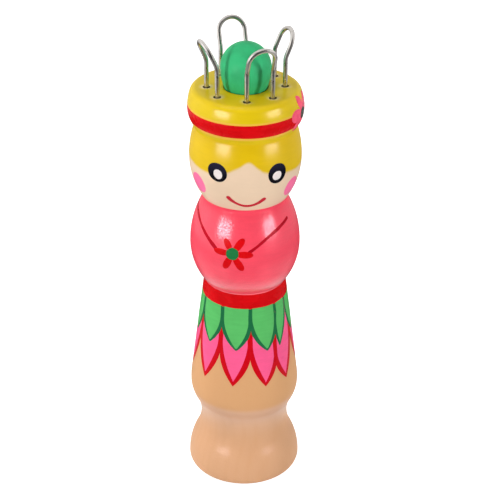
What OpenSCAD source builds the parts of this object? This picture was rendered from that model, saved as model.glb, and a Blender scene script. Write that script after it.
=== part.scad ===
// Knitting nancy: a turned wooden doll with a bore down its axis, four wire staples
// standing round the mouth of the bore, and a lifting bodkin kept in the bore.
// Millimetres. The doll stands on the XY plane with its axis on +Z and its face towards -Y.

/* [Bore] */
// Diameter of the bore that the knitted cord runs down
bore_d = 13; // [10:0.5:14]
// Chamfer round both mouths of the bore
bore_chamfer = 0.6; // [0.3:0.1:1.2]

/* [Foot and ankle] */
// Largest diameter of the foot
foot_d = 37.6; // [33:0.1:46]
// Radius of the rounded edge that the foot stands on
foot_edge = 2.4; // [1.5:0.1:4]
// Height of the foot, from the floor to the ankle
foot_h = 19.6; // [17:0.2:26]
// Diameter of the ankle at its narrowest
ankle_d = 29.3; // [27:0.1:32]
// Radius of the hollow round the ankle
ankle_hollow = 16.3; // [12:0.1:18]

/* [Skirt] */
// Largest diameter of the hip, at the hem of the skirt
hip_d = 36; // [34:0.5:40]
// Height from the ankle up to the hip
hip_h = 13.2; // [12:0.2:18]
// Radius of the turn from the hip into the cone of the skirt
hip_round = 29; // [10:0.5:40]
// Height of the skirt, from the hip to the waist
skirt_h = 40; // [30:0.2:55]
// Diameter of the groove at the waist
waist_d = 26.2; // [22:0.2:32]

/* [Chest and neck] */
// Largest diameter of the chest
chest_d = 35.3; // [33:0.1:43]
// Height of the chest below its widest line
chest_low_h = 13.2; // [9:0.2:18]
// Height of the chest above its widest line
chest_high_h = 16.6; // [12:0.2:24]
// Diameter of the groove at the neck
neck_d = 26.2; // [22:0.2:32]

/* [Head] */
// Largest diameter of the head
head_d = 35.3; // [33:0.1:43]
// Height of the head below its widest line
head_low_h = 13.8; // [10:0.2:18]
// Height of the head above its widest line
head_high_h = 10.7; // [8:0.1:18]
// Diameter of the groove under the cap
brim_d = 31.7; // [30:0.1:33]

/* [Cap] */
// Largest diameter of the cap
cap_d = 36; // [34:0.5:44]
// Height of the cap below its widest line
cap_low_h = 5.8; // [3:0.1:8]
// Height of the cap above its widest line
cap_high_h = 6.4; // [5:0.1:12]
// Radius of the cap's side above its widest line
cap_side = 15.7; // [13:0.1:24]
// Radius of the cap's rounded top edge
cap_edge = 2.2; // [1:0.1:3]

/* [Staples] */
// Diameter of the staple wire
wire_d = 1.4; // [1:0.1:2]
// Diameter of the circle that the staple legs stand on
leg_circle_d = 24; // [22:0.2:26]
// Distance between the two legs of a staple, centre to centre
staple_span = 8.4; // [6:0.2:9.4]
// Length of a leg above the cap, along the wire up to the crown
leg_rise = 12.9; // [12:0.1:20]
// The same length for the back staple, which stands a little taller
back_rise = 13.5; // [12:0.1:20]
// Height above the cap at which a leg bends outwards
bend_start = 8; // [5:0.2:9]
// Radius of that bend, at the middle of the wire
bend_r = 5; // [3:0.2:7]
// Depth that a leg is pressed into the cap
leg_depth = 12; // [8:0.5:16]
// Depth of the countersink round each leg
leg_countersink = 0.5; // [0.2:0.1:0.8]
// Turn of the front staple about the axis, from the front towards the right
front_turn = 22; // [17:1:27]
// Turn of the right staple
right_turn = 112; // [107:1:117]
// Turn of the back staple
back_turn = 200; // [192:1:204]
// Turn of the left staple
left_turn = 294; // [289:1:299]
// Outward lean of the front staple, in degrees
front_lean = 20; // [1:1:30]
// Outward lean of the right staple
right_lean = 23; // [1:1:30]
// Outward lean of the back staple
back_lean = 19; // [1:1:30]
// Outward lean of the left staple
left_lean = 24; // [1:1:30]

/* [Bodkin] */
// Largest diameter of the knob
knob_d = 15.7; // [15:0.1:17]
// Radius of the knob's side below its widest line
knob_side = 17; // [16:1:34]
// Depth that the knob reaches into the bore below its seat
knob_plug = 3; // [1:0.5:6]
// Diameter of the needle
needle_d = 2.2; // [1.5:0.1:3]
// Length of the needle below the knob
needle_reach = 85; // [50:1:100]
// Depth that the needle is held in the knob
needle_hold = 10; // [6:0.5:14]
// Length of the needle's tapered end
needle_taper = 9; // [5:0.5:15]
// Diameter of the needle's blunt tip
needle_tip_d = 1; // [0.6:0.1:1.4]

/* [Fits] */
// Gap between a pressed wire and its hole, on the radius
press_gap = 0.03; // [0.02:0.01:0.08]
// Gap between the knob and its seat in the bore's mouth
seat_gap = 0.1; // [0.05:0.01:0.2]
// Spare depth at the end of a drilled hole
drill_spare = 0.3; // [0.1:0.1:1]

/* [Hidden] */
$fn = 160;
// Overshoot that takes a cut cleanly through a face
over = 1;
// Length by which one piece of a shape runs on inside the next
lap = 0.5;
// Depth by which an arc is let into its neighbour, so that the two cross
bite = 0.002;
// Extra radius of a bend in the wire, so that the straight wire ends inside it
bend_swell = 0.01;

bore_r = bore_d / 2;
foot_r = foot_d / 2;
ankle_r = ankle_d / 2;
hip_r = hip_d / 2;
waist_r = waist_d / 2;
chest_r = chest_d / 2;
neck_r = neck_d / 2;
head_r = head_d / 2;
brim_r = brim_d / 2;
cap_r = cap_d / 2;

// Height of the foot's widest line
foot_z = foot_edge - bite;
ankle_z = foot_h;
hip_z = ankle_z + hip_h;
waist_z = hip_z + skirt_h;
chest_z = waist_z + chest_low_h;
neck_z = chest_z + chest_high_h;
head_z = neck_z + head_low_h;
brim_z = head_z + head_high_h;
cap_z = brim_z + cap_low_h;
body_h = cap_z + cap_high_h;

wire_r = wire_d / 2;
hole_r = wire_r + press_gap;
// Distance from the axis to the line through a staple's two legs
chord_r = sqrt(pow(leg_circle_d / 2, 2) - pow(staple_span / 2, 2));

knob_r = knob_d / 2;
seat_step = knob_r - (bore_r - seat_gap);
// Height of the knob's widest line above its seat, on the inner edge of the chamfer
seat_drop = neat(sqrt(2 * knob_side * seat_step - seat_step * seat_step));
seat_z = body_h - bore_chamfer;
knob_z = seat_z + seat_drop;
knob_end_z = seat_z - knob_plug;
needle_r = needle_d / 2;
needle_tip_r = needle_tip_d / 2;
needle_tip_z = knob_end_z - needle_reach + needle_tip_r;

// A size kept to a hundredth of a millimetre
function neat(x) = round(x * 100) / 100;

// Radius of the arc that leaves a widest line upright and ends at another radius and height
function swell_radius(r_wide, r_end, rise) =
    neat((pow(r_wide - r_end, 2) + pow(rise, 2)) / (2 * (r_wide - r_end)));

// Radius of the arc that leaves a widest line upright and runs smoothly into the ankle hollow
function ankle_swell(r_wide, rise) =
    let (across = ankle_r + ankle_hollow - r_wide)
    neat((across * across + rise * rise - ankle_hollow * ankle_hollow) / (2 * (r_wide - ankle_r)) + 0.015);

// Height at which that arc meets the hollow
function ankle_join_z(z_wide, r_wide) =
    let (swell = ankle_swell(r_wide, ankle_z - z_wide))
    neat(z_wide + (ankle_z - z_wide) * swell / (swell + ankle_hollow));

// A slice of the half profile, from the axis out to one radius
module slice(z_low, z_high, r) {
    polygon([[0, z_low], [r, z_low], [r, z_high], [0, z_high]]);
}

// A slice whose outer edge is an arc that stands upright at the widest line
module swell_slice(z_low, z_high, z_wide, r_wide, arc_r) {
    intersection() {
        slice(z_low, z_high, r_wide + over);
        union() {
            translate([r_wide - arc_r, z_wide]) circle(arc_r);
            if (arc_r < r_wide) slice(z_low, z_high, r_wide - arc_r);
        }
    }
}

// The stretch of a bulge between its widest line and a groove, run on a little past the groove
module half_bulge(z_wide, r_wide, z_end, r_end) {
    z_past = z_end > z_wide ? z_end + lap : z_end - lap;
    swell_slice(min(z_wide, z_past), max(z_wide, z_past), z_wide, r_wide,
                swell_radius(r_wide, r_end, z_end - z_wide));
}

// Foot, hollow ankle and the underside of the hip
module foot_profile() {
    low_join_z = ankle_join_z(foot_z, foot_r);
    high_join_z = ankle_join_z(hip_z, hip_r);
    intersection() {
        slice(0, foot_z, foot_r + over);
        union() {
            slice(-over, foot_z, foot_r - foot_edge);
            translate([foot_r - foot_edge, foot_z]) circle(foot_edge);
        }
    }
    swell_slice(foot_z, low_join_z + lap, foot_z, foot_r, ankle_swell(foot_r, ankle_z - foot_z));
    difference() {
        slice(low_join_z, high_join_z, ankle_r + ankle_hollow);
        translate([ankle_r + ankle_hollow, ankle_z]) circle(ankle_hollow);
    }
    swell_slice(high_join_z - lap, hip_z, hip_z, hip_r, ankle_swell(hip_r, ankle_z - hip_z));
}

// Rounded hip and the straight cone of the skirt above it, run on a little past the waist
module skirt_profile() {
    centre = [hip_r - hip_round, hip_z];
    to_waist = [waist_r, waist_z] - centre;
    turn = atan2(to_waist.y, to_waist.x) - acos(hip_round / norm(to_waist));
    join = centre + hip_round * [cos(turn), sin(turn)];
    past = [waist_r - lap * tan(turn), waist_z + lap];
    swell_slice(hip_z, neat(join.y) + lap, hip_z, hip_r, hip_round);
    polygon([[0, join.y], [join.x - bite, join.y], past, [0, past.y]]);
}

// Side and rounded top edge of the cap
module cap_profile() {
    centre_r = cap_r - cap_side;
    edge_z = body_h - cap_edge;
    flat_r = neat(centre_r + sqrt(pow(cap_side - cap_edge, 2) - pow(edge_z - cap_z, 2)) + 0.01);
    join_z = neat(cap_z + (edge_z - cap_z) * cap_side / (cap_side - cap_edge));
    half_bulge(cap_z, cap_r, brim_z, brim_r);
    swell_slice(cap_z, join_z, cap_z, cap_r, cap_side);
    intersection() {
        slice(join_z - lap, body_h, cap_r + over);
        union() {
            slice(join_z - lap, body_h + over, flat_r);
            translate([flat_r, edge_z]) circle(cap_edge + bite);
        }
    }
}

// The half profile that the bore and its two chamfers take away
module bore_profile() {
    mouth_r = bore_r + bore_chamfer + over;
    polygon([[-over, -over], [mouth_r, -over], [bore_r, bore_chamfer],
             [bore_r, body_h - bore_chamfer], [mouth_r, body_h + over], [-over, body_h + over]]);
}

module at_staple(turn) {
    rotate([0, 0, turn]) translate([0, -chord_r, body_h]) children();
}

// The two drilled and countersunk holes of one staple
module leg_holes(turn) {
    depth = leg_depth + drill_spare;
    sink = leg_countersink + over;
    at_staple(turn) for (side = [-1, 1]) translate([side * staple_span / 2, 0, 0]) {
        translate([0, 0, -depth]) cylinder(r = hole_r, h = depth + over);
        translate([0, 0, -leg_countersink]) cylinder(r1 = hole_r, r2 = hole_r + sink, h = sink);
    }
}

module doll_body() {
    color("burlywood") difference() {
        rotate_extrude() difference() {
            union() {
                foot_profile();
                skirt_profile();
                half_bulge(chest_z, chest_r, waist_z, waist_r);
                half_bulge(chest_z, chest_r, neck_z, neck_r);
                half_bulge(head_z, head_r, neck_z, neck_r);
                half_bulge(head_z, head_r, brim_z, brim_r);
                cap_profile();
            }
            bore_profile();
        }
        for (turn = [front_turn, right_turn, back_turn, left_turn]) leg_holes(turn);
    }
}

// A bend in the staple wire, about the Z axis
module wire_bend(radius, sweep) {
    rotate_extrude(angle = sweep) translate([radius, 0]) circle(wire_r + bend_swell);
}

// One length of wire: two legs, an outward bend in each, and a half-round crown
module staple(turn, lean, rise = leg_rise) {
    tuck = 0.2;
    bend_y = -bend_r * (1 - cos(lean));
    bend_z = bend_start + bend_r * sin(lean);
    run = rise - bend_start - bend_r * lean * PI / 180;
    color("silver") at_staple(turn) {
        for (side = [-1, 1]) translate([side * staple_span / 2, 0, 0]) {
            translate([0, 0, -leg_depth]) cylinder(r = wire_r, h = leg_depth + bend_start + tuck);
            translate([0, -bend_r, bend_start]) rotate([90, 0, 90]) wire_bend(bend_r, lean);
            translate([0, bend_y, bend_z]) rotate([lean, 0, 0])
                translate([0, 0, -tuck]) cylinder(r = wire_r, h = run + 2 * tuck);
        }
        translate([0, bend_y, bend_z]) rotate([lean, 0, 0]) translate([0, 0, run])
            rotate([90, 0, 0]) wire_bend(staple_span / 2, 180);
    }
}

module staple_front() { staple(front_turn, front_lean); }
module staple_right() { staple(right_turn, right_lean); }
module staple_back() { staple(back_turn, back_lean, back_rise); }
module staple_left() { staple(left_turn, left_lean); }

// Domed knob whose narrower end sits in the mouth of the bore
module bodkin_knob() {
    color("mediumseagreen") difference() {
        rotate_extrude() {
            swell_slice(knob_end_z, knob_z, knob_z, knob_r, knob_side);
            intersection() {
                slice(knob_z, knob_z + knob_r + over, knob_r + over);
                translate([0, knob_z]) circle(knob_r);
            }
        }
        translate([0, 0, knob_end_z - over])
            cylinder(r = needle_r + press_gap, h = needle_hold + drill_spare + over);
    }
}

// Straight needle with a tapered end and a blunt round tip
module bodkin_needle() {
    taper_z = needle_tip_z + needle_taper;
    color("gainsboro") {
        translate([0, 0, taper_z]) cylinder(r = needle_r, h = knob_end_z + needle_hold - taper_z);
        translate([0, 0, needle_tip_z]) cylinder(r1 = needle_tip_r, r2 = needle_r, h = needle_taper);
        translate([0, 0, needle_tip_z]) sphere(needle_tip_r);
    }
}

doll_body();
staple_front();
staple_right();
staple_back();
staple_left();
bodkin_knob();
bodkin_needle();
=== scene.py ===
"""Painted looks of a turned wooden knitting nancy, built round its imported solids."""

import math

import bmesh
import bpy
import numpy as np
from mathutils import Matrix, Vector
from mathutils.geometry import delaunay_2d_cdt


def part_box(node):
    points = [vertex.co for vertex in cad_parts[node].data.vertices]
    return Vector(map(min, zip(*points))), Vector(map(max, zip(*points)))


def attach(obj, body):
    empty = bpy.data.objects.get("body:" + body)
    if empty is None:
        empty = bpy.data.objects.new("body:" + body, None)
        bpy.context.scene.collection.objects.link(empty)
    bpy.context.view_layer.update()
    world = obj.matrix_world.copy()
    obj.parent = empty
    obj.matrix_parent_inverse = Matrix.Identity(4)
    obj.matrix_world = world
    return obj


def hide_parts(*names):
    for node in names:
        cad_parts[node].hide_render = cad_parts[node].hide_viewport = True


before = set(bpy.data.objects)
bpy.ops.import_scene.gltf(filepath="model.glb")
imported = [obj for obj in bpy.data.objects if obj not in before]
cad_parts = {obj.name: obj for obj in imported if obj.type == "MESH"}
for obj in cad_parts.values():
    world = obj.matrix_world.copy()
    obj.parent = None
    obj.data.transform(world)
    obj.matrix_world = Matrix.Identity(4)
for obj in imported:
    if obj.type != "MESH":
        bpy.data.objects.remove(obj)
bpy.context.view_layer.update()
DOLL_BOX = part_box("doll_body")

bl_info = {
    "name": "Knitting nancy",
    "version": (1, 0, 0),
    "blender": (4, 5, 0),
    "location": "View3D > Sidebar > Nancy",
    "description": "Turned and painted doll with wire staples and a lifting bodkin",
    "category": "Object",
}

MM = 0.001
DOLL = "doll"
BODKIN = "bodkin"
METAL_SLOTS = ("staple_wire", "needle_steel")


def linear(red, green, blue):
    """Turns a colour written in 0 to 255 display values into the shader's own values."""
    out = []
    for value in (red, green, blue):
        v = value / 255.0
        out.append(v / 12.92 if v <= 0.04045 else ((v + 0.055) / 1.055) ** 2.4)
    return tuple(out)


def length(name, text, mm):
    return bpy.props.FloatProperty(
        name=name, description=text, default=mm * MM, min=0.0, unit="LENGTH", precision=5)


def turn(name, text, degrees):
    return bpy.props.FloatProperty(
        name=name, description=text, default=math.radians(degrees), subtype="ANGLE")


def paint(name, text, red, green, blue):
    return bpy.props.FloatVectorProperty(
        name=name, description=text, default=linear(red, green, blue), size=3,
        min=0.0, max=1.0, subtype="COLOR")


class TurningSizes(bpy.types.PropertyGroup):
    """The lathe profile, bottom to top"""

    foot_radius: length("Foot radius", "Largest radius of the foot", DOLL_BOX[1][0] / MM)
    foot_edge: length("Foot edge", "Radius of the rounded edge under the foot", 2.4)
    ankle_height: length("Ankle height", "Height of the narrowest line of the ankle", 19.6)
    ankle_radius: length("Ankle radius", "Radius of the ankle", 14.65)
    ankle_hollow: length("Ankle hollow", "Radius of the hollow round the ankle", 16.3)
    hip_height: length("Hip height", "Height of the hip's widest line", 32.8)
    hip_radius: length("Hip radius", "Largest radius of the hip", 18.0)
    hip_round: length("Hip round", "Radius of the turn from hip to skirt", 29.0)
    waist_height: length("Waist height", "Height of the groove at the waist", 72.8)
    waist_radius: length("Waist radius", "Radius at the waist groove", 13.1)
    chest_height: length("Chest height", "Height of the chest's widest line", 86.0)
    chest_radius: length("Chest radius", "Largest radius of the chest", 17.65)
    neck_height: length("Neck height", "Height of the groove at the neck", 102.6)
    neck_radius: length("Neck radius", "Radius at the neck groove", 13.1)
    head_height: length("Head height", "Height of the head's widest line", 116.4)
    head_radius: length("Head radius", "Largest radius of the head", 17.65)
    brim_height: length("Brim height", "Height of the groove under the cap", 127.1)
    brim_radius: length("Brim radius", "Radius at the groove under the cap", 15.85)
    cap_height: length("Cap height", "Height of the cap's widest line", 132.9)
    cap_radius: length("Cap radius", "Largest radius of the cap", 18.0)
    cap_side: length("Cap side", "Radius of the cap's side", 15.7)
    cap_edge: length("Cap edge", "Radius of the cap's top edge", 2.2)
    body_height: length("Body height", "Height of the flat of the cap", DOLL_BOX[1][2] / MM)
    bore_radius: length("Bore radius", "Radius of the bore", 6.5)
    bore_chamfer: length("Bore chamfer", "Chamfer at both mouths of the bore", 0.6)
    groove_fill: length("Groove fill", "How far paint fills a groove, to each side", 0.55)


class StapleSizes(bpy.types.PropertyGroup):
    """The four bent wires and their holes"""

    wire_radius: length("Wire radius", "Radius of the staple wire", 0.7)
    leg_circle: length("Leg circle", "Radius of the circle that the legs stand on", 12.0)
    span: length("Span", "Distance between the legs of a staple", 8.4)
    leg_rise: length("Leg rise", "Length of a leg above the cap", 12.9)
    back_rise: length("Back rise", "The same length for the back staple", 13.5)
    bend_start: length("Bend start", "Height above the cap where a leg bends", 8.0)
    bend_radius: length("Bend radius", "Radius of that bend", 5.0)
    leg_depth: length("Leg depth", "Depth of a leg in the cap", 12.0)
    hole_gap: length("Hole gap", "Gap between leg and hole", 0.03)
    countersink: length("Countersink", "Depth of the countersink round a leg", 0.5)
    front_turn: turn("Front turn", "Turn of the front staple", 22)
    front_lean: turn("Front lean", "Outward lean of the front staple", 20)
    right_turn: turn("Right turn", "Turn of the right staple", 112)
    right_lean: turn("Right lean", "Outward lean of the right staple", 23)
    back_turn: turn("Back turn", "Turn of the back staple", 200)
    back_lean: turn("Back lean", "Outward lean of the back staple", 19)
    left_turn: turn("Left turn", "Turn of the left staple", 294)
    left_lean: turn("Left lean", "Outward lean of the left staple", 24)


class BodkinSizes(bpy.types.PropertyGroup):
    """The lifting bodkin"""

    knob_radius: length("Knob radius", "Largest radius of the knob", 7.85)
    knob_side: length("Knob side", "Radius of the knob's side", 17.0)
    knob_plug: length("Knob plug", "Depth of the knob below its seat", 3.0)
    seat_gap: length("Seat gap", "Gap between knob and bore", 0.1)
    needle_radius: length("Needle radius", "Radius of the needle", 1.1)
    needle_reach: length("Needle reach", "Length of the needle below the knob", 85.0)
    needle_hold: length("Needle hold", "Depth of the needle in the knob", 10.0)
    needle_taper: length("Needle taper", "Length of the tapered end", 9.0)
    tip_radius: length("Tip radius", "Radius of the blunt tip", 0.5)


class PaintColours(bpy.types.PropertyGroup):
    """Colours of the paints, the wood and the wire"""

    cap_yellow: paint("Cap yellow", "Cap of the doll", 224, 192, 16)
    hair_yellow: paint("Hair yellow", "Hair of the doll", 225, 187, 12)
    skin: paint("Skin", "Face of the doll", 233, 205, 176)
    dress_pink: paint("Dress pink", "Chest of the doll", 252, 77, 98)
    band_red: paint("Band red", "Cap band, belt and flower petals", 214, 8, 16)
    leaf_green: paint("Leaf green", "Leaves under the belt", 92, 190, 103)
    leaf_edge: paint("Leaf edge", "Outline of the leaves", 30, 108, 66)
    petal_pink: paint("Petal pink", "Petals of the skirt", 251, 94, 146)
    petal_edge: paint("Petal edge", "Outline of the petals", 206, 4, 22)
    cheek_pink: paint("Cheek pink", "Cheeks", 251, 118, 165)
    mouth_red: paint("Mouth red", "Mouth", 196, 36, 52)
    strand_red: paint("Strand red", "Strand that the flower hangs on", 184, 8, 32)
    flower_green: paint("Flower green", "Middle of the flower", 32, 122, 66)
    cap_flower: paint("Cap flower", "Flower on the cap", 250, 90, 120)
    eye_dark: paint("Eye dark", "Rim of the eyes", 18, 16, 26)
    eye_white: paint("Eye white", "Middle of the eyes", 236, 226, 224)
    wood: paint("Wood", "Bare lacquered wood", 219, 168, 128)
    wood_dark: paint("Wood grain", "Late wood in the grain", 211, 156, 109)
    knob_green: paint("Knob green", "Knob of the bodkin", 57, 179, 117)
    wood_golden: paint("Golden wood", "Warmer wood from the hip up", 217, 161, 98)
    # Painted reflection: a pale colour that stands in for the floor's gloss in the hollow of the ankle
    wood_floor_reflection: paint("Pale wood", "Paler wood in the hollow of the ankle", 222, 184, 164)
    # Painted shade: a near-black colour for the shadow inside the leg holes
    hole_wall_shade: paint("Drilled wood", "Dark wall of the leg holes", 40, 27, 15)
    band_ground: paint("Band ground", "Orange ground that shows beside the cap's band", 240, 180, 78)
    leg_halo: paint("Leg halo", "Cream ring of thin paint round each leg", 238, 218, 158)
    eye_blue: paint("Eye blue", "Upper part of the eyes' rim", 25, 25, 46)
    cap_flower_middle: paint("Cap flower middle", "Middle of the cap's flower", 34, 66, 50)
    wire: paint("Wire", "Polished staple wire", 214, 209, 204)
    needle: paint("Needle", "Steel of the bodkin's needle", 176, 177, 182)


class PaintLayout(bpy.types.PropertyGroup):
    """Where the paint lies on the doll"""

    band_low: length("Band low", "Lower edge of the cap's band", 129.65)
    band_high: length("Band high", "Upper edge of the cap's band", 134.0)
    belt_low: length("Belt low", "Lower edge of the belt", 67.6)
    belt_high: length("Belt high", "Upper edge of the belt", 72.7)
    film: length("Film", "Thickness of one coat of brushed paint", 0.035)
    leaf_outline: length("Leaf outline", "Width of the leaves' outline", 0.5)
    petal_outline: length("Petal outline", "Width of the petals' outline", 0.9)
    wobble: length("Wobble", "How far a brushed edge wanders", 0.09)


class StudioSettings(bpy.types.PropertyGroup):
    """Camera, light and floor"""

    camera_back: length("Camera back", "Distance of the camera in front of the axis", 420.0)
    camera_up: length("Camera up", "Height of the camera", 319.5)
    camera_pitch: turn("Camera pitch", "Downward tilt of the camera", 29.51)
    camera_lens: bpy.props.FloatProperty(
        name="Lens", description="Focal length for a 36 mm sensor", default=107.28, min=1.0)
    camera_shift: bpy.props.FloatProperty(
        name="Shift", description="Sideways shift of the picture", default=0.0102)
    camera_roll: turn("Camera roll", "Sideways tilt of the camera", 0.306)
    ambient: bpy.props.FloatProperty(
        name="Ambient", description="Strength of the white surroundings", default=0.13, min=0.0)
    softbox_power: bpy.props.FloatProperty(
        name="Softbox power", description="Power of each soft box in watts", default=1.75, min=0.0)


class Wire:
    """A socket of a node tree. Arithmetic on it adds Math nodes to the tree."""

    def __init__(self, bench, socket):
        self.bench = bench
        self.socket = socket

    def other(self, name):
        return Wire(self.bench, self.socket.node.outputs[name])

    def math(self, operation, *values):
        entries = dict(enumerate((self,) + values))
        return self.bench.add("ShaderNodeMath", {"operation": operation}, entries)

    def __add__(self, value):
        return self.math("ADD", value)

    __radd__ = __add__

    def __sub__(self, value):
        return self.math("SUBTRACT", value)

    def __rsub__(self, value):
        return self.bench.add("ShaderNodeMath", {"operation": "SUBTRACT"}, {0: value, 1: self})

    def __mul__(self, value):
        return self.math("MULTIPLY", value)

    __rmul__ = __mul__

    def __truediv__(self, value):
        return self.math("DIVIDE", value)

    def __rtruediv__(self, value):
        return self.bench.add("ShaderNodeMath", {"operation": "DIVIDE"}, {0: value, 1: self})

    def __pow__(self, value):
        return self.math("POWER", value)

    def most(self, value):
        return self.math("MAXIMUM", value)

    def size(self):
        return self.math("ABSOLUTE")

    def root(self):
        return self.math("SQRT")

    def sine(self):
        return self.math("SINE")

    def cosine(self):
        return self.math("COSINE")

    def angle_from(self, other):
        return self.math("ARCTAN2", other)

    def step(self, low, high):
        """0 below low, 1 above high, and a smooth step between."""
        entries = {"Value": self, "From Min": low, "From Max": high}
        return self.bench.add("ShaderNodeMapRange", {"interpolation_type": "SMOOTHSTEP"}, entries)

    def above(self, edge):
        """The same step over a soft edge that is given in millimetres."""
        return self.step(edge[0] * MM, edge[1] * MM)

    def within(self, low, high):
        """1 between two soft edges and 0 outside them."""
        return self.above(low) * (1.0 - self.above(high))


class Bench:
    """Adds nodes to one tree and links them."""

    def __init__(self, tree):
        self.tree = tree
        tree.nodes.clear()

    def add(self, kind, settings=None, values=None, out=0):
        node = self.tree.nodes.new(kind)
        for key, setting in (settings or {}).items():
            setattr(node, key, setting)
        for key, value in (values or {}).items():
            self.feed(node.inputs[key], value)
        return Wire(self, node.outputs[out])

    def feed(self, socket, value):
        if isinstance(value, Wire):
            self.tree.links.new(value.socket, socket)
        elif socket.type == "RGBA" and len(value) == 3:
            socket.default_value = (*value, 1.0)
        else:
            socket.default_value = value

    def blend(self, factor, low, high):
        """A colour between two colours."""
        entries = {0: factor, 6: low, 7: high}
        return self.add("ShaderNodeMix", {"data_type": "RGBA"}, entries, out=2)

    def ramp(self, factor, stops):
        """A grey value read off stops of position and value."""
        wire = self.add("ShaderNodeValToRGB", None, {0: factor})
        band = wire.socket.node.color_ramp
        band.interpolation = "CARDINAL"
        while len(band.elements) < len(stops):
            band.elements.new(0.5)
        for element, (place, value) in zip(band.elements, stops):
            element.position = place
            element.color = (value, value, value, 1.0)
        return wire

    def noise(self, place, scale, stretch=(1.0, 1.0, 1.0), detail=3.0, roughness=0.55):
        moved = self.add("ShaderNodeMapping", None, {"Vector": place, "Scale": stretch})
        entries = {"Vector": moved, "Scale": scale, "Detail": detail, "Roughness": roughness}
        return self.add("ShaderNodeTexNoise", {"noise_dimensions": "3D"}, entries)

    def end(self, kind, wire):
        """Links the last wire to an output node."""
        node = self.tree.nodes.new(kind)
        self.tree.links.new(wire.socket, node.inputs[0])


class Finish(Bench):
    """A material under construction."""

    def __init__(self, name):
        self.material = bpy.data.materials.new(name)
        self.material.use_nodes = True
        super().__init__(self.material.node_tree)
        self.place = self.add("ShaderNodeTexCoord", out="Object")
        self.axes = self.add("ShaderNodeSeparateXYZ", None, {0: self.place})

    def close(self, colour, roughness, height=None, bump=0.0, fixed=None):
        """Joins colour, roughness and height to one principled shader."""
        values = {"Base Color": colour, "Roughness": roughness}
        if height is not None:
            entries = {"Height": height, "Strength": 1.0, "Distance": bump}
            values["Normal"] = self.add("ShaderNodeBump", None, entries)
        values.update(fixed or {})
        shader = self.add("ShaderNodeBsdfPrincipled", None, values)
        self.end("ShaderNodeOutputMaterial", shader)
        return self.material


def scaled(colour, factor):
    return tuple(min(1.0, c * factor) for c in colour)


LACQUER = {
    "Specular IOR Level": 0.06, "Coat Weight": 0.024, "Coat Roughness": 0.12, "Coat IOR": 1.5,
}


def brushed_paint(name, colour, low=0.94, high=1.04, gloss=0.3):
    """Hand-brushed gloss paint: faint strokes round the doll, soft pools and a little relief."""
    finish = Finish(name)
    strokes = finish.noise(finish.place, 160.0, (1.0, 1.0, 9.0), 4.0, 0.6)
    pools = finish.noise(finish.place, 240.0, detail=2.0)
    fine = finish.noise(finish.place, 1500.0, (1.0, 1.0, 2.5), 2.0)
    shade = (strokes * 0.6 + pools * 0.4).step(0.3, 0.7)
    tint = finish.blend(shade, scaled(colour, low), scaled(colour, high))
    roughness = pools * 0.14 + (gloss - 0.07)
    height = strokes * 0.6 + fine * 0.4
    return finish.close(tint, roughness, height, 0.012 * MM, LACQUER)


# Soft edges up the doll where its finish changes, as start and end height in millimetres
FOOT_TOP = (10.0, 16.0)
HOLLOW_LOW = (16.0, 22.0)
HOLLOW_HIGH = (25.0, 27.6)
# Soft edges of the band where the floor's reflection is painted into the wood
REFLECTION_LOW = (20.0, 28.0)
REFLECTION_HIGH = (29.2, 31.4)
GOLDEN_LOW = (28.6, 32.0)
DRESS_LOW = (72.15, 72.3)
CHEST_UNDERSIDE = (75.0, 81.0)
CHEST_TOP = (100.0, 102.5)
SKIN_LOW = (103.5, 103.75)
EYE_TOP = (116.2, 119.4)
BAND_GROUND_LOW = (128.5, 128.9)
BAND_GROUND_HIGH = (134.5, 134.8)
# Where the hair ends on the face, as azimuth in degrees and height in millimetres
HAIR_LINE = (
    (-180, 107.5), (-150, 108.5), (-118, 112.5), (-92, 117.0), (-69, 117.1), (-55, 116.7),
    (-39, 116.6), (-24, 117.35), (-14.5, 118.5), (-4, 120.3), (4.0, 121.6), (10.6, 120.1),
    (17.0, 118.4), (31, 117.0), (47, 116.15), (71, 115.6), (92, 116.4), (118, 112.5),
    (150, 108.5), (180, 107.5),
)
HAIR_LOW = 100.0
HAIR_SPAN = 30.0
# Soft edge of the hair, measured up from that line
HAIR_EDGE = (-0.75, 0.55)
# Heart of the log beside the doll's axis, and the pitch and wander of its rings, in millimetres
LOG_HEART = (-31.0, 14.0)
RING_PITCH = 3.1
RING_WANDER = 7.0
# Weight of the clear coat all over, and what each zone adds to it
GLOSS_ALL = 0.045
GLOSS_FOOT = 0.015
GLOSS_HOLLOW = 0.36
GLOSS_CHEST = 0.32
GLOSS_UNDERSIDE = 0.63
GLOSS_HAIR = 0.09
GLOSS_CAP = 0.015
# Share of that gloss that is lost on the face, and where the chest's paint is broken up
FACE_LOSS = 0.3
BREAK_LOSS = 0.7


def eye_paint(name, colours):
    """Dark eye paint that turns a little blue towards the top of the eye."""
    finish = Finish(name)
    pools = finish.noise(finish.place, 300.0, detail=2.0)
    upper = (finish.axes.other("Z") + (pools - 0.5) * (0.8 * MM)).above(EYE_TOP)
    tint = finish.blend(upper, scaled(colours.eye_dark, 0.7), colours.eye_blue)
    return finish.close(tint, pools * 0.1 + 0.2, pools, 0.015 * MM, LACQUER)


def hair_height(finish, around):
    """Height of the hair's edge at an azimuth."""
    stops = [((az + 180.0) / 360.0, (z - HAIR_LOW) / HAIR_SPAN) for az, z in HAIR_LINE]
    share = finish.ramp(around * (0.5 / math.pi) + 0.5, stops)
    return share * (HAIR_SPAN * MM) + HAIR_LOW * MM


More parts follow.
